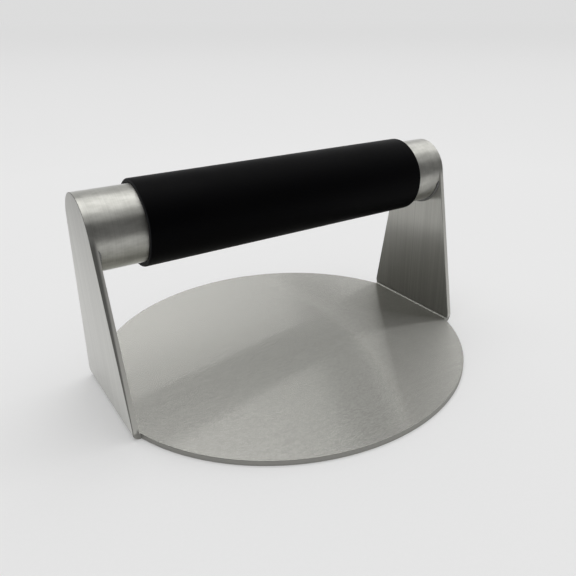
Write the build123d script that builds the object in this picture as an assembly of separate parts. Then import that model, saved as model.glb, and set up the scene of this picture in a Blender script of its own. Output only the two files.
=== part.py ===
from build123d import *
from math import acos, atan2, cos, hypot, radians, sin, sqrt, tan
import os

# Griddle press for bacon and burgers. A round stainless plate has two ears folded up from the
# same sheet. A welded steel tube joins the ears and carries a silicone grip.
# Millimetres. The origin is the centre of the plate's underside. +Z points up, and the handle
# runs along X. The parts on the -X side are called left, and those on the +X side right.

# Sheet and plate
plate_dia = 140.0
sheet = 1.9
edge_break = 0.2

# Ears
ear_span = 137.0
ear_lean = 1.7
ear_foot = 48.5
ear_ease = 5.5
bend_inside_r = 0.6

# The easing starts this far outside an ear's straight side, so that the two never lie on each other
ease_clear = 0.1

# Handle tube
handle_height = 62.0
tube_dia = 25.4
tube_wall = 1.2

# Silicone grip. It is pushed on by hand and sits this far from the middle, towards the right ear.
grip_dia = 28.6
grip_length = 110.0
grip_edge_r = 0.5
grip_shift = 1.7

# Weld seams
weld_leg = 0.8

# Derived sizes
plate_r = plate_dia / 2
tube_r = tube_dia / 2
bend_outside_r = bend_inside_r + sheet
fold_line_x = ear_span / 2 - bend_outside_r
corner_y = sqrt(plate_r**2 - fold_line_x**2)
lean = radians(ear_lean)
turn = radians(90.0 - ear_lean)
ear_reach = handle_height + tube_dia

# Where an ear's straight side leaves its round top, and how it widens from there to its foot
foot_y = ear_foot / 2
rise = handle_height - sheet
tangent_angle = acos(tube_r / hypot(foot_y, rise)) - atan2(rise, foot_y)
tangent_y = tube_r * cos(tangent_angle)
tangent_z = handle_height + tube_r * sin(tangent_angle)
taper = (foot_y - tangent_y) / (tangent_z - sheet)
base_y = foot_y + sheet * taper


def flat_plate():
    """The disc, trimmed at the two fold lines where the ears start to turn up."""
    disc = Cylinder(plate_r, sheet, align=(Align.CENTER, Align.CENTER, Align.MIN))
    disc = fillet(disc.edges().filter_by(GeomType.CIRCLE), edge_break)
    between_folds = Box(
        2 * fold_line_x, plate_dia, sheet, align=(Align.CENTER, Align.CENTER, Align.MIN)
    )
    return disc & between_folds


def fold_section():
    """Section in the XZ plane of the right ear: the bend, then the straight, leaning sheet."""
    centre = (fold_line_x, sheet + bend_inside_r)

    def on_bend(radius, angle):
        return (centre[0] + radius * sin(angle), centre[1] - radius * cos(angle))

    def up_the_ear(point):
        return (point[0] + ear_reach * cos(turn), point[1] + ear_reach * sin(turn))

    inside_end = on_bend(bend_inside_r, turn)
    outside_end = on_bend(bend_outside_r, turn)
    with BuildSketch(Plane.XZ) as section:
        with BuildLine():
            ThreePointArc((fold_line_x, 0), on_bend(bend_outside_r, turn / 2), outside_end)
            Polyline(outside_end, up_the_ear(outside_end), up_the_ear(inside_end), inside_end)
            ThreePointArc(inside_end, on_bend(bend_inside_r, turn / 2), (fold_line_x, sheet))
            Line((fold_line_x, sheet), (fold_line_x, 0))
        make_face()
    return section.sketch


def ear_outline():
    """Side view of an ear in the YZ plane: straight tapered sides that run into a round top.

    The top arc has the tube's own radius and centre, so the ear's rim is flush with the tube.
    """
    with BuildSketch(Plane.YZ) as outline:
        with BuildLine():
            Polyline((-tangent_y, tangent_z), (-base_y, 0), (base_y, 0), (tangent_y, tangent_z))
            ThreePointArc(
                (tangent_y, tangent_z), (0, handle_height + tube_r), (-tangent_y, tangent_z)
            )
        make_face()
    return outline.sketch


def eased_foot():
    """What the ears keep, in the YZ plane: all of them above ear_ease. Below it their sides curve
    in to the corners that the fold line cuts on the disc's rim.
    """
    ease_y = foot_y - (ear_ease - sheet) * taper + ease_clear
    above = ear_reach + ear_ease
    with BuildSketch(Plane.YZ) as kept:
        with BuildLine():
            for side in (-1, 1):
                Polyline(
                    (side * ease_y, ear_ease), (side * plate_r, ear_ease), (side * plate_r, above)
                )
                TangentArc(
                    (side * ease_y, ear_ease), (side * corner_y, sheet), tangent=(side * taper, -1)
                )
                Line((side * corner_y, sheet), (side * corner_y, 0))
            Line((-corner_y, 0), (corner_y, 0))
            Line((-plate_r, above), (plate_r, above))
        make_face()
    return kept.sketch


def right_ear():
    """The right ear with its bend, cut to its outline, with the edges of its outside broken.

    The edges of its inside stay sharp, because the tube meets the ear flush there.
    """
    folded_strip = extrude(fold_section(), amount=plate_r, both=True)
    ear = folded_strip & extrude(ear_outline(), amount=ear_span)
    outside = ear.faces().filter_by(GeomType.PLANE).sort_by(Axis.X)[-1]
    outside_of_bend = ear.faces().filter_by(GeomType.CYLINDER).sort_by(Axis.Z)[0]
    cut_edges = (outside.edges() + outside_of_bend.edges()).filter_by(Axis.Y, reverse=True)
    return ear.fillet(edge_break, cut_edges) & extrude(eased_foot(), amount=ear_span)


def press_plate():
    """The folded sheet: the disc and both ears in one piece."""
    ear = right_ear()
    return flat_plate() + ear + mirror(ear, about=Plane.YZ)


def ear_face_x(height):
    """Where the right ear's inner face is at this height above the underside."""
    centre_z = sheet + bend_inside_r
    return fold_line_x + bend_inside_r / cos(lean) + (height - centre_z) * tan(lean)


def space_between_ears():
    """A block bounded by the inner faces of the two leaning ears."""
    top = handle_height + tube_dia
    with BuildSketch(Plane.XZ) as gap:
        with BuildLine():
            Polyline(
                (-ear_face_x(0), 0),
                (ear_face_x(0), 0),
                (ear_face_x(top), top),
                (-ear_face_x(top), top),
                close=True,
            )
        make_face()
    return extrude(gap.sketch, amount=plate_r, both=True)


def along_handle(radius, length):
    """A solid round bar on the handle's axis, centred between the ears."""
    return Pos(0, 0, handle_height) * Rot(0, 90, 0) * Cylinder(radius, length)


def handle_tube():
    """Round tube between the ears. Its ends are cut to the ears' lean."""
    outer = along_handle(tube_r, ear_span + tube_dia)
    bore = along_handle(tube_r - tube_wall, ear_span + tube_dia)
    return (outer - bore) & space_between_ears()


def grip_sleeve():
    """Silicone sleeve, a tight push fit over the tube, with its outer rims rounded."""
    sleeve = along_handle(grip_dia / 2, grip_length) - along_handle(tube_r, grip_length)
    rims = sleeve.edges().filter_by(GeomType.CIRCLE).group_by(SortBy.RADIUS)[-1]
    return Pos(grip_shift, 0, 0) * fillet(rims, grip_edge_r)


def right_weld():
    """Small fillet weld under the tube, where the ear reaches out past it."""
    ear_face = Pos(ear_face_x(handle_height), 0, handle_height) * Rot(0, ear_lean - 90, 0)
    cone = Cone(
        tube_r + weld_leg,
        tube_r - weld_leg,
        2 * weld_leg,
        align=(Align.CENTER, Align.CENTER, Align.MIN),
    )
    below_axis = Pos(0, 0, handle_height) * Box(
        2 * ear_span, plate_dia, handle_height, align=(Align.CENTER, Align.CENTER, Align.MAX)
    )
    bead = ear_face * cone - along_handle(tube_r, 2 * ear_span)
    return bead & below_axis & extrude(ear_outline(), amount=ear_span)


right = right_weld()
parts = {
    "press_plate": press_plate(),
    "handle_tube": handle_tube(),
    "grip_sleeve": grip_sleeve(),
    "weld_right": right,
    "weld_left": mirror(right, about=Plane.YZ),
}

os.makedirs("parts", exist_ok=True)
for name, shape in parts.items():
    shape.label = name
    export_step(shape, f"parts/{name}.step")
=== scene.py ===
from math import cos, pi, radians, sin

import bmesh
import bpy
from mathutils import Matrix, Vector


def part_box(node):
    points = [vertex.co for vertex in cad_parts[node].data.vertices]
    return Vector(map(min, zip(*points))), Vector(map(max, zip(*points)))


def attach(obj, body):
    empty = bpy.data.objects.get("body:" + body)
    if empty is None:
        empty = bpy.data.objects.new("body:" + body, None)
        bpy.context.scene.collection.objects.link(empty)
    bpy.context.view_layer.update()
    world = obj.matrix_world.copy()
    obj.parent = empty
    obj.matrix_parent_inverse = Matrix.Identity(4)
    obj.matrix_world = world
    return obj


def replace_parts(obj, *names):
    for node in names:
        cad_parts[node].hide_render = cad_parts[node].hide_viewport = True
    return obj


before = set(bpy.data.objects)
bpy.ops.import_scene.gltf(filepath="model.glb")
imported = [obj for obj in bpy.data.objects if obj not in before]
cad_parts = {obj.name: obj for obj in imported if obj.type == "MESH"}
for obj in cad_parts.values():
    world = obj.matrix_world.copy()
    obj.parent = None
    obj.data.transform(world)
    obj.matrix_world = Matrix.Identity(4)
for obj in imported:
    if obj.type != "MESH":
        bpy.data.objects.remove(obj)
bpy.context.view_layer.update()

# Griddle press: looks, floor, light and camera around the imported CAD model. Metres throughout.
# The handle runs along X, the plate lies on Z = 0, and the grain of the sheet runs along X on the
# plate and up the two ears.

MM = 0.001
SHEET = 1.9 * MM

# Height at which the flat disc's look gives way to the ears' look
EAR_STARTS = SHEET + 0.2 * MM
EAR_COMPLETE = SHEET + 1.2 * MM

# Camera: where it stands, where it points, and its lens on a 36 mm sensor.
CAMERA_PLACE = Vector((-109.67, -188.49, 124.18)) * MM
CAMERA_HEADING = radians(-35.38)
CAMERA_PITCH = radians(-20.58)
CAMERA_ROLL = radians(-0.175)
CAMERA_LENS = 38.76
CAMERA_SHIFT = (-0.0786, -0.0737)

# Colours. The steels are mixed between their dark and their light tone by the grain.
STEEL_DARK = (0.476, 0.473, 0.440, 1.0)
STEEL_LIGHT = (0.564, 0.561, 0.523, 1.0)
TUBE_DARK = (0.455, 0.452, 0.420, 1.0)
TUBE_LIGHT = (0.585, 0.582, 0.545, 1.0)
CUT_EDGE_OF_EAR = (0.600, 0.595, 0.560, 1.0)
CUT_EDGE_OF_DISC = (0.330, 0.327, 0.306, 1.0)
# Painted shade on the ears' cut edges: the dark strip, and the shadow inside the bend at the foot
CUT_EDGE_PAINTED_SHADE = (0.220, 0.218, 0.205, 1.0)
WELD_DARK = (0.22, 0.22, 0.22, 1.0)
WELD_LIGHT = (0.36, 0.36, 0.36, 1.0)
SILICONE_DARK = (0.0006, 0.0006, 0.0009, 1.0)
SILICONE_LIGHT = (0.0012, 0.0012, 0.0016, 1.0)
# Painted light: the sleeve's end faces are painted paler, as if lit
SILICONE_END_PAINTED_LIGHT = (0.022, 0.022, 0.024, 1.0)

# Floor: levels of grey, and distances from the object
FLOOR_PALE = 0.862
FLOOR_FAR = 0.805
FLOOR_DARK = 0.12
FLOOR_GLOW = 0.26
FLOOR_GLOW_LEVEL = 0.93
# Painted pool of light: within this distance the floor is at its palest, and beyond it fades to
# FLOOR_FAR
FLOOR_PAINTED_POOL_WITHIN = 0.35
FLOOR_DARK_BETWEEN = (0.06, 0.34)
FLOOR_GONE_BETWEEN = (2.0, 10.0)
FLOOR_HALF = 15.0

# The room, as levels of light seen from the object. AWAY points from the camera past the object,
# and BRIGHTEST is the side that the room is brightest on.
AWAY = Vector((-sin(CAMERA_HEADING), cos(CAMERA_HEADING), 0.0))
CAMERA_RIGHT = Vector((cos(CAMERA_HEADING), sin(CAMERA_HEADING), 0.0))
BRIGHTEST = (AWAY + 0.25 * CAMERA_RIGHT).normalized()
NEAR_SIDE_ENDS = -0.4
ROOM_NEAR_SIDE = 0.08
ROOM_FAR_SIDE = 0.95
ROOM_HALF_WAY_UP = 0.70
ROOM_OVERHEAD = 2.20
ROOM_SEEN_BY_CAMERA = 0.72
HALF_WAY_UP_BETWEEN = (0.50, 0.75)
OVERHEAD_BETWEEN = (0.78, 1.02)

# Two long ceiling lamps in one row, level with the camera's width and a little beyond the object.
# Each runs from one place to another along the row, as shares of the ceiling's height.
CEILING = 2.0
ROW_BEYOND = 0.385
LAMPS = {"lamp_long": (-0.70, 0.39), "lamp_short": (0.52, 0.90)}
LAMP_WIDTH = 0.12
LAMP_RADIANCE = 4.2

# Steel finish. A RATIO is how many times wider the sheen is across the grain than along it, and
# DULL is the share of the metal that shows no grain.
SHEEN_ACROSS = 0.5
RATIO_ON_DISC = 60.0
RATIO_ON_EAR = 24.0
RATIO_ON_TUBE = 9.0
DULL_ON_DISC = 0.08
DULL_ON_EAR = 0.03
DULL_ON_TUBE = 0.10
DULL_ROUGHNESS = 0.42
CUT_ROUGHNESS = 0.5
SPECKLE_DEPTH = 0.020 * MM
TUBE_SPECKLE_DEPTH = 0.012 * MM
TUBE_UNEVEN_DEPTH = 0.012 * MM

# Patterns, as cells per metre along X, Y and Z, and the noise levels that they fade between
GRAIN_OF_SHEET = (25.0, 3600.0, 25.0)
GRAIN_OF_TUBE = (3600.0, 25.0, 25.0)
SHEET_DASHES = (900.0, 2200.0, 900.0)
SHEET_SPECKLE = (400.0, 640.0, 400.0)
TUBE_SPECKLE = (900.0, 520.0, 520.0)
TUBE_UNEVEN = (220.0, 330.0, 330.0)
TUBE_CLOUDS = (180.0, 420.0, 420.0)
NOISE_BETWEEN = (0.36, 0.64)
DASHES_BETWEEN = (0.41, 0.59)
DASHES_TONES = (0.14, 0.86)
DASHES_SHARE = 0.65

# Cut edges. A face counts as one as its normal's share of X falls, or of Y rises, through these
# values. Over the GROUND_TOP heights above the tube's axis the ears' cut edges turn bright. Widths
# and depths are shares of the sheet.
EAR_RIM_FACES_X = (0.7, 0.4)
RIM_FACES_Y = (0.15, 0.3)
GROUND_TOP_FROM = -1.0 * MM
GROUND_TOP_TO = 3.0 * MM
# Painted shade: a dark strip down the ears' cut edges, and a painted shadow inside the bend at the
# foot.
SHADE_STRIP_FOOT = 5.0 * MM
SHADE_STRIP_WIDTH_AT_FOOT = 0.14
SHADE_STRIP_WIDTH_AT_HANDLE = 0.75
SHADE_STRIP_WIDTH_ON_RIGHT = 0.12
SHADE_STRIP_SOFTNESS = 0.35
BEND_SHADOW_DEPTH = (0.5, 0.1)
BEND_SHADOW_HEIGHT = (4.5 * MM, 2.5 * MM)

# Silicone sleeve. GRIP_WAVE_REACH is how sharply the wave keeps to the ends.
GRIP_RIM = 0.5 * MM
GRIP_CLEAR = 0.02 * MM
GRIP_LIP = 0.25 * MM
GRIP_RIM_STEPS = 6
GRIP_LENGTH_STEPS = 90
GRIP_AROUND = 128
END_WAVE = 0.2 * MM
GRIP_WAVE_REACH = 40
GRIP_SKIN_DEPTH = 0.02 * MM

# Weld beads
WELD_LEG = 0.8 * MM
WELD_START = radians(10)
WELD_TAPER = 0.12
WELD_THINNEST = 0.05
WELD_STEP = 0.08 * MM
WELD_SIDES = 9
WELD_PITCH = 0.9 * MM
WELD_CRESCENT = 0.3 * MM
WELD_RIPPLE = 0.16
WELD_SINK = 0.05 * MM
WELD_PIT_DEPTH = 0.03 * MM


# ---------------------------------------------------------------- shader helpers

class Nodes:
    """A node tree with one short call per node. Each call returns the new node's first output."""

    def __init__(self, tree):
        self.tree = tree
        tree.nodes.clear()

    def add(self, kind, inputs=None, **settings):
        node = self.tree.nodes.new(kind)
        for key, value in settings.items():
            setattr(node, key, value)
        for socket, value in (inputs or {}).items():
            if isinstance(value, bpy.types.NodeSocket):
                self.tree.links.new(value, node.inputs[socket])
            else:
                node.inputs[socket].default_value = value
        return node

    def place(self):
        """The shaded point, in metres in the row frame."""
        return self.add("ShaderNodeTexCoord").outputs["Object"]

    def normal(self):
        return self.add("ShaderNodeNewGeometry").outputs["Normal"]

    def axis(self, vector, name):
        return self.add("ShaderNodeSeparateXYZ", {0: vector}).outputs[name]

    def vector(self, x, y, z):
        return self.add("ShaderNodeCombineXYZ", {0: x, 1: y, 2: z}).outputs[0]

    def calc(self, operation, first, second=0.0):
        return self.add("ShaderNodeMath", {0: first, 1: second}, operation=operation).outputs[0]

    def dot(self, first, second):
        node = self.add("ShaderNodeVectorMath", {0: first, 1: second}, operation="DOT_PRODUCT")
        return node.outputs["Value"]

    def stretch(self, vector, scale):
        node = self.add("ShaderNodeVectorMath", {0: vector, 1: scale}, operation="MULTIPLY")
        return node.outputs[0]

    def noise(self, vector, scale=1.0, detail=2.0, roughness=0.5):
        inputs = {"Vector": vector, "Scale": scale, "Detail": detail, "Roughness": roughness}
        return self.add("ShaderNodeTexNoise", inputs).outputs[0]

    def ramp(self, value, low, high, to_low=0.0, to_high=1.0, smooth=True):
        """value from low to high becomes to_low to to_high, clamped at both ends."""
        inputs = {"Value": value, "From Min": low, "From Max": high,
                  "To Min": to_low, "To Max": to_high}
        kind = "SMOOTHSTEP" if smooth else "LINEAR"
        return self.add("ShaderNodeMapRange", inputs, interpolation_type=kind).outputs[0]

    def mix(self, share, first, second):
        """Plain numbers or number sockets, mixed by share."""
        inputs = {0: share, 2: first, 3: second}
        return self.add("ShaderNodeMix", inputs, data_type="FLOAT").outputs[0]

    def tint(self, share, first, second):
        """Colours, mixed by share."""
        inputs = {0: share, 6: first, 7: second}
        return self.add("ShaderNodeMix", inputs, data_type="RGBA").outputs[2]

    def bump(self, height, distance, strength=1.0, normal=None):
        inputs = {"Height": height, "Distance": distance, "Strength": strength}
        if normal is not None:
            inputs["Normal"] = normal
        return self.add("ShaderNodeBump", inputs).outputs[0]

    def surface(self, **inputs):
        named = {key.replace("_", " "): value for key, value in inputs.items()}
        shader = self.add("ShaderNodeBsdfPrincipled", named)
        self.add("ShaderNodeOutputMaterial", {"Surface": shader.outputs[0]})

    def brushed(self, colour, ratio, tangent, normal, dull, dull_share):
        """Brushed metal. Its sheen is wide across the grain and narrow along it.

        ratio is how many times narrower, and tangent points across the grain. dull is the
        roughness of the share that shows no grain.
        """
        narrowing = self.calc("POWER", ratio, -0.5)
        facing = self.add("ShaderNodeLayerWeight", {"Blend": 0.5}).outputs["Facing"]
        glancing = self.calc("POWER", facing, 5.0)
        streak = self.add("ShaderNodeBsdfAnisotropic", {
            "Color": self.tint(glancing, colour, grey(1.0)),
            "Roughness": self.calc("POWER", self.calc("MULTIPLY", narrowing, SHEEN_ACROSS), 0.5),
            "Anisotropy": self.calc("SUBTRACT", narrowing, 1.0),
            "Tangent": tangent,
            "Normal": normal,
        })
        plain = self.add("ShaderNodeBsdfPrincipled", {
            "Base Color": colour,
            "Metallic": 1.0,
            "Roughness": dull,
            "Normal": normal,
        })
        mixed = self.add("ShaderNodeMixShader", {
            0: dull_share, 1: streak.outputs[0], 2: plain.outputs[0],
        })
        self.add("ShaderNodeOutputMaterial", {"Surface": mixed.outputs[0]})


def new_material(name):
    material = bpy.data.materials.new(name)
    material.use_nodes = True
    return material, Nodes(material.node_tree)


def grey(level):
    return (level, level, level, 1.0)


# ---------------------------------------------------------------- materials

def grain(n, place, across):
    """Fine grain as a pattern from 0 to 1: long streaks with finer ones among them.

    across is how the place is scaled, and is large on the axis that the grain doesn't run along.
    """
    long_streaks = n.noise(n.stretch(place, tuple(0.22 * a for a in across)), detail=2.0)
    fine_streaks = n.noise(n.stretch(place, across), detail=3.0, roughness=0.6)
    return n.calc("ADD", n.calc("MULTIPLY", long_streaks, 0.4), n.calc("MULTIPLY", fine_streaks, 0.6))


def brushed_sheet():
    """Sheet steel with duller cut edges, and ear tops that are ground round with the tube.

    The grain is short dashes on the disc and clear streaks up the ears.
    """
    material, n = new_material("brushed_sheet")
    place = n.place()
    normal = n.normal()
    x = n.axis(place, "X")
    z = n.axis(place, "Z")
    axis_z = (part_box("handle_tube")[0].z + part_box("handle_tube")[1].z) / 2
    on_ear = n.ramp(z, EAR_STARTS, EAR_COMPLETE)
    sideways = n.calc("ABSOLUTE", n.axis(normal, "X"))
    rim_of_ear = n.calc("MULTIPLY", on_ear, n.ramp(sideways, *EAR_RIM_FACES_X))
    on_top = n.ramp(z, axis_z + GROUND_TOP_FROM, axis_z + GROUND_TOP_TO)
    ground_top = n.calc("MULTIPLY", rim_of_ear, on_top)
    side_of_disc = n.ramp(n.calc("ABSOLUTE", n.axis(normal, "Y")), *RIM_FACES_Y)
    edge = n.calc("MAXIMUM", rim_of_ear, side_of_disc)
    cut = n.calc("MULTIPLY", edge, n.calc("SUBTRACT", 1.0, ground_top))

    streaks = grain(n, place, GRAIN_OF_SHEET)
    round_streaks = grain(n, place, GRAIN_OF_TUBE)
    clear_streaks = n.ramp(n.mix(edge, streaks, round_streaks), *NOISE_BETWEEN)
    dashes = n.noise(n.stretch(place, SHEET_DASHES), detail=2.0, roughness=0.6)
    dashed = n.ramp(n.mix(DASHES_SHARE, streaks, dashes), *DASHES_BETWEEN, *DASHES_TONES)
    speckle = n.noise(n.stretch(place, SHEET_SPECKLE), detail=3.0, roughness=0.65)
    colour = n.tint(n.mix(on_ear, dashed, clear_streaks), STEEL_DARK, STEEL_LIGHT)
    colour = n.tint(cut, colour, cut_edge_colour(n, x, z, axis_z, on_ear))
    height = n.calc("MULTIPLY", speckle, n.calc("SUBTRACT", 1.0, cut))
    across = n.tint(edge, (0.0, 1.0, 0.0, 1.0), (1.0, 0.0, 0.0, 1.0))
    n.brushed(
        colour,
        ratio=n.mix(on_ear, RATIO_ON_DISC, RATIO_ON_EAR),
        tangent=across,
        normal=n.bump(height, SPECKLE_DEPTH),
        dull=n.mix(cut, DULL_ROUGHNESS, CUT_ROUGHNESS),
        dull_share=n.mix(cut, n.mix(on_ear, DULL_ON_DISC, DULL_ON_EAR), 1.0),
    )
    return material


def cut_edge_colour(n, x, z, axis_z, on_ear):
    """The cut edge is dark on the disc. On the ears it is pale, with a dark strip on its -X side.

    The dark strip is painted shade. On the left ear it widens from the foot to the handle. On the
    right ear it is thin all the way. A painted shadow lies inside the bend at the foot.
    """
    tube_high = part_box("handle_tube")[1]
    weld_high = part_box("weld_right")[1]
    lean = (tube_high.x - weld_high.x) / (tube_high.z - axis_z)
    inner_x = n.calc("ADD", weld_high.x, n.calc("MULTIPLY", n.calc("SUBTRACT", z, axis_z), lean))
    depth = n.calc("DIVIDE", n.calc("SUBTRACT", n.calc("ABSOLUTE", x), inner_x), SHEET)
    on_right = n.calc("GREATER_THAN", x, 0.0)
    from_minus_x = n.mix(on_right, n.calc("SUBTRACT", 1.0, depth), depth)
    width_on_left = n.ramp(
        z, SHADE_STRIP_FOOT, axis_z, SHADE_STRIP_WIDTH_AT_FOOT, SHADE_STRIP_WIDTH_AT_HANDLE, smooth=False
    )
    width = n.mix(on_right, width_on_left, SHADE_STRIP_WIDTH_ON_RIGHT)
    beyond_strip = n.calc("SUBTRACT", n.calc("DIVIDE", from_minus_x, width), 1.0)
    pale = n.ramp(beyond_strip, -SHADE_STRIP_SOFTNESS, SHADE_STRIP_SOFTNESS)
    # Painted shade: the dark strip on the -X side of the ears' cut edges
    edge_with_painted_shade = n.tint(pale, CUT_EDGE_PAINTED_SHADE, CUT_EDGE_OF_EAR)
    # Painted shadow inside the bend at the foot
    near_bend = n.ramp(z, *BEND_SHADOW_HEIGHT)
    painted_bend_shadow = n.calc("MULTIPLY", n.ramp(depth, *BEND_SHADOW_DEPTH), near_bend)
    edge_with_painted_shade = n.tint(painted_bend_shadow, edge_with_painted_shade, CUT_EDGE_PAINTED_SHADE)
    return n.tint(on_ear, CUT_EDGE_OF_DISC, edge_with_painted_shade)


def brushed_tube():
    """Tube steel, ground round and round, so its grain runs along the circumference."""
    material, n = new_material("brushed_tube")
    place = n.place()
    streaks = grain(n, place, GRAIN_OF_TUBE)
    speckle = n.noise(n.stretch(place, TUBE_SPECKLE), detail=3.0, roughness=0.6)
    uneven = n.noise(n.stretch(place, TUBE_UNEVEN), detail=2.0)
    cloudy = n.noise(n.stretch(place, TUBE_CLOUDS), detail=4.0, roughness=0.65)
    pattern = n.calc("ADD", n.calc("MULTIPLY", streaks, 0.4), n.calc("MULTIPLY", cloudy, 0.6))
    n.brushed(
        n.tint(n.ramp(pattern, *NOISE_BETWEEN), TUBE_DARK, TUBE_LIGHT),
        ratio=RATIO_ON_TUBE,
        tangent=n.vector(1.0, 0.0, 0.0),
        normal=n.bump(speckle, TUBE_SPECKLE_DEPTH, normal=n.bump(uneven, TUBE_UNEVEN_DEPTH)),
        dull=DULL_ROUGHNESS,
        dull_share=DULL_ON_TUBE,
    )
    return material


def weld_steel():
    """Weld metal: darker and duller than the sheet, and finely pitted."""
    material, n = new_material("weld_steel")
    pits = n.noise(n.place(), scale=1500.0, detail=3.0)
    colour = n.tint(pits, WELD_DARK, WELD_LIGHT)
    n.surface(Base_Color=colour, Metallic=1.0, Roughness=0.45, Normal=n.bump(pits, WELD_PIT_DEPTH))
    return material


def black_silicone():
    """Matt black rubber: barely uneven in colour and sheen. Its cut ends are painted a little paler,
    as painted light.
    """
    material, n = new_material("black_silicone")
    place = n.place()
    skin = n.noise(place, scale=2500.0, detail=3.0)
    patches = n.noise(place, scale=60.0, detail=3.0)
    colour = n.tint(patches, SILICONE_DARK, SILICONE_LIGHT)
    # Painted light: the end faces are painted paler, as if lit
    end_face = n.ramp(n.calc("ABSOLUTE", n.axis(n.normal(), "X")), 0.3, 0.9)
    colour = n.tint(end_face, colour, SILICONE_END_PAINTED_LIGHT)
    n.surface(
        Base_Color=colour,
        Roughness=n.ramp(patches, 0.3, 0.7, 0.46, 0.54),
        IOR=1.41,
        Specular_IOR_Level=0.05,
        Normal=n.bump(skin, GRIP_SKIN_DEPTH),
    )
    return material


def pale_floor():
    """Matt pale board that glows a little, so that the shadows on it stay light.

    Near the object it is painted paler, a painted pool of light that fades with distance. Far away
    it turns into the room's own level. Reflections see it fall off into the dark of the camera's side.
    """
    material, n = new_material("pale_floor")
    place = n.place()
    fibre = n.noise(place, scale=900.0, detail=3.0)
    colour = n.tint(fibre, grey(FLOOR_PALE * 0.99), grey(FLOOR_PALE * 1.01))
    # Painted pool of light: paler near the object, fading with distance
    distance = n.calc("SQRT", n.dot(place, place))
    beyond_painted_pool = n.calc("MAXIMUM", distance, FLOOR_PAINTED_POOL_WITHIN)
    painted_pool_share = n.calc("DIVIDE", FLOOR_PAINTED_POOL_WITHIN, beyond_painted_pool)
    colour = n.tint(painted_pool_share, grey(FLOOR_FAR), colour)
    toward_camera = n.calc("MULTIPLY", n.dot(place, AWAY), -1.0)
    mirrored = n.add("ShaderNodeLightPath").outputs["Is Glossy Ray"]
    dark = n.calc("MULTIPLY", n.ramp(toward_camera, *FLOOR_DARK_BETWEEN), mirrored)
    colour = n.tint(dark, colour, grey(FLOOR_DARK))
    gone = n.ramp(distance, *FLOOR_GONE_BETWEEN)
    lit = n.tint(FLOOR_GLOW, colour, grey(0.0))
    glow = n.tint(FLOOR_GLOW * FLOOR_GLOW_LEVEL, grey(0.0), colour)
    n.surface(
        Base_Color=n.tint(gone, lit, grey(0.0)),
        Roughness=0.9,
        Specular_IOR_Level=0.0,
        Emission_Color=n.tint(gone, glow, grey(ROOM_SEEN_BY_CAMERA)),
        Emission_Strength=1.0,
    )
    return material


# ---------------------------------------------------------------- meshes

def finish_mesh(name, mesh, material):
    """Makes a smooth-shaded object of a bmesh."""
    bmesh.ops.recalc_face_normals(mesh, faces=mesh.faces)
    data = bpy.data.meshes.new(name)
    mesh.to_mesh(data)
    mesh.free()
    for face in data.polygons:
        face.use_smooth = True
    data.materials.append(material)
    made = bpy.data.objects.new(name, data)
    bpy.context.scene.collection.objects.link(made)
    return made


# ---------------------------------------------------------------- grip

def rim_arc(centre_x, centre_r, radius, start, end):
    """A quarter round as (x, radius from the axis) points. Angles run from the sleeve's axis."""
    points = []
    for k in range(GRIP_RIM_STEPS + 1):
        turn = start + (end - start) * k / GRIP_RIM_STEPS
        points.append((centre_x + radius * cos(turn), centre_r + radius * sin(turn)))
    return points


def grip_profile():
    """Half section of the sleeve as (x, radius from the axis), walked once round."""
    low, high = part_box("grip_sleeve")
    tube_low, tube_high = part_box("handle_tube")
    outer = (high.z - low.z) / 2
    bore = (tube_high.z - tube_low.z) / 2 + GRIP_CLEAR
    start = low.x + END_WAVE
    end = high.x - END_WAVE
    shoulder = outer - GRIP_RIM
    profile = rim_arc(start + GRIP_RIM, shoulder, GRIP_RIM, pi, pi / 2)
    straight = end - start - 2 * GRIP_RIM
    for k in range(1, GRIP_LENGTH_STEPS):
        profile.append((start + GRIP_RIM + straight * k / GRIP_LENGTH_STEPS, outer))
    profile += rim_arc(end - GRIP_RIM, shoulder, GRIP_RIM, pi / 2, 0.0)
    profile += [(end, bore + GRIP_LIP), (end - GRIP_LIP, bore)]
    profile += [(start + GRIP_LIP, bore), (start, bore + GRIP_LIP)]
    return profile


def silicone_grip():
    """The sleeve: a lathed tube with round rims and a small inner chamfer. Its ends wave a little."""
    low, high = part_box("grip_sleeve")
    axis_z = (low.z + high.z) / 2
    middle = (low.x + high.x) / 2
    half = (high.x - low.x) / 2
    profile = grip_profile()
    mesh = bmesh.new()
    rings = []
    for k in range(GRIP_AROUND):
        turn = 2 * pi * k / GRIP_AROUND
        ring = []
        for x, radius in profile:
            toward_end = ((x - middle) / half) ** GRIP_WAVE_REACH
            wave = END_WAVE * toward_end * 0.5 * (sin(2 * turn + 1.0) + sin(5 * turn))
            ring.append(mesh.verts.new((x + wave, radius * cos(turn), axis_z + radius * sin(turn))))
        rings.append(ring)
    for k in range(GRIP_AROUND):
        here = rings[k]
        there = rings[(k + 1) % GRIP_AROUND]
        for j in range(len(profile)):
            after = (j + 1) % len(profile)
            mesh.faces.new((here[j], here[after], there[after], there[j]))
    grip = finish_mesh("silicone_grip", mesh, black_silicone())
    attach(grip, "root")
    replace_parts(grip, "grip_sleeve")


# ---------------------------------------------------------------- welds

def bead_section(along, share, tube_r):
    """Section of a bead as (away from the tube, away from the ear) pairs, with its ripple.

    along is the angle round the tube, and share is how far along the bead that is, from 0 to 1.
    """
    fade = min(1.0, sin(pi * share) / WELD_TAPER) ** 0.5
    section = []
    for j in range(WELD_SIDES):
        turn = pi / 2 * j / (WELD_SIDES - 1)
        bow = sin(2 * turn)
        phase = 2 * pi * (along * tube_r + WELD_CRESCENT * bow) / WELD_PITCH
        ripple = 1.0 + WELD_RIPPLE * abs(sin(phase / 2)) * bow
        size = WELD_LEG * max(fade, WELD_THINNEST) * ripple
        section.append((size * cos(turn), size * sin(turn)))
    section.append((-WELD_SINK, -WELD_SINK))
    return section


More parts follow.
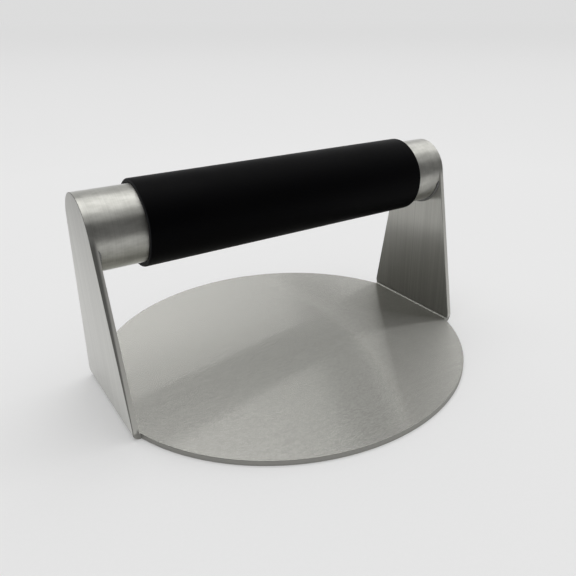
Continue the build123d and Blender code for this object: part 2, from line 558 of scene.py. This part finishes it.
def weld_bead(name, side):
    """Rippled fillet weld round the underside of one tube end. side is -1 on the left, 1 on the right.

    It starts and ends just below the tube's widest level, where the ear begins to reach out past it.
    """
    tube_low, tube_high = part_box("handle_tube")
    weld_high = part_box("weld_right")[1]
    axis_z = (tube_low.z + tube_high.z) / 2
    tube_r = (tube_high.z - tube_low.z) / 2
    lean = (tube_high.x - weld_high.x) / tube_r
    sweep = pi - 2 * WELD_START
    steps = round(sweep * tube_r / WELD_STEP)
    mesh = bmesh.new()
    rings = []
    for k in range(steps + 1):
        share = k / steps
        along = WELD_START + sweep * share
        ring = []
        for out, inward in bead_section(along, share, tube_r):
            y = -(tube_r + out) * cos(along)
            z = axis_z - (tube_r + out) * sin(along)
            face_x = weld_high.x + (z - axis_z) * lean
            ring.append(mesh.verts.new((side * (face_x - inward), y, z)))
        rings.append(ring)
    count = WELD_SIDES + 1
    for near, far in zip(rings, rings[1:]):
        for j in range(count):
            after = (j + 1) % count
            mesh.faces.new((near[j], near[after], far[after], far[j]))
    mesh.faces.new(rings[0])
    mesh.faces.new(reversed(rings[-1]))
    bead = finish_mesh(name, mesh, weld_steel())
    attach(bead, "root")
    return bead


# ---------------------------------------------------------------- stage, light and camera

def floor():
    mesh = bmesh.new()
    corners = []
    for x, y in ((-1, -1), (1, -1), (1, 1), (-1, 1)):
        corners.append(mesh.verts.new((x * FLOOR_HALF, y * FLOOR_HALF, 0)))
    mesh.faces.new(corners)
    data = bpy.data.meshes.new("floor")
    mesh.to_mesh(data)
    mesh.free()
    data.materials.append(pale_floor())
    plane = bpy.data.objects.new("floor", data)
    bpy.context.scene.collection.objects.link(plane)


def room():
    """Light from all round: bright overhead, pale beyond the object, dark on the camera's side.

    The camera itself sees one even level.
    """
    world = bpy.data.worlds.new("room")
    world.use_nodes = True
    bpy.context.scene.world = world
    n = Nodes(world.node_tree)
    direction = n.add("ShaderNodeTexCoord").outputs["Generated"]
    up = n.axis(direction, "Z")
    toward_far_side = n.dot(direction, BRIGHTEST)
    level = n.ramp(
        toward_far_side, NEAR_SIDE_ENDS, 1.0, ROOM_NEAR_SIDE, ROOM_FAR_SIDE, smooth=False
    )
    level = n.mix(n.ramp(up, *HALF_WAY_UP_BETWEEN), level, ROOM_HALF_WAY_UP)
    level = n.mix(n.ramp(up, *OVERHEAD_BETWEEN), level, ROOM_OVERHEAD)
    seen = n.add("ShaderNodeLightPath").outputs["Is Camera Ray"]
    level = n.mix(seen, level, ROOM_SEEN_BY_CAMERA)
    background = n.add("ShaderNodeBackground", {"Color": n.vector(level, level, level)})
    n.add("ShaderNodeOutputWorld", {"Surface": background.outputs[0]})


def ceiling_lamp(name, start, end):
    """A long narrow lamp. start and end are places along the row, in ceiling heights."""
    row = Vector((0, 0, 1)) + AWAY * ROW_BEYOND
    upward = row.normalized()
    data = bpy.data.lights.new(name, "AREA")
    data.shape = "RECTANGLE"
    data.size = (end - start) * CEILING
    data.size_y = LAMP_WIDTH
    data.energy = LAMP_RADIANCE * pi * data.size * data.size_y
    lamp = bpy.data.objects.new(name, data)
    bpy.context.scene.collection.objects.link(lamp)
    place = (row + CAMERA_RIGHT * (start + end) / 2) * CEILING
    facing = Matrix((CAMERA_RIGHT, upward.cross(CAMERA_RIGHT), upward)).transposed().to_4x4()
    lamp.matrix_world = Matrix.Translation(place) @ facing


def camera():
    data = bpy.data.cameras.new("camera")
    data.sensor_width = 36.0
    data.lens = CAMERA_LENS
    data.shift_x, data.shift_y = CAMERA_SHIFT
    data.clip_start = 0.01
    data.clip_end = 100.0
    eye = bpy.data.objects.new("camera", data)
    bpy.context.scene.collection.objects.link(eye)
    eye.matrix_world = (
        Matrix.Translation(CAMERA_PLACE)
        @ Matrix.Rotation(CAMERA_HEADING, 4, "Z")
        @ Matrix.Rotation(pi / 2 + CAMERA_PITCH, 4, "X")
        @ Matrix.Rotation(CAMERA_ROLL, 4, "Z")
    )
    bpy.context.scene.camera = eye


def dress_cad_nodes():
    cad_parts["press_plate"].material_slots[0].material = brushed_sheet()
    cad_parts["handle_tube"].material_slots[0].material = brushed_tube()


dress_cad_nodes()
silicone_grip()
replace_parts(weld_bead("weld_bead_left", -1), "weld_left")
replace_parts(weld_bead("weld_bead_right", 1), "weld_right")
floor()
room()
for name, (start, end) in LAMPS.items():
    ceiling_lamp(name, start, end)
camera()
bpy.context.scene.view_settings.view_transform = "Standard"
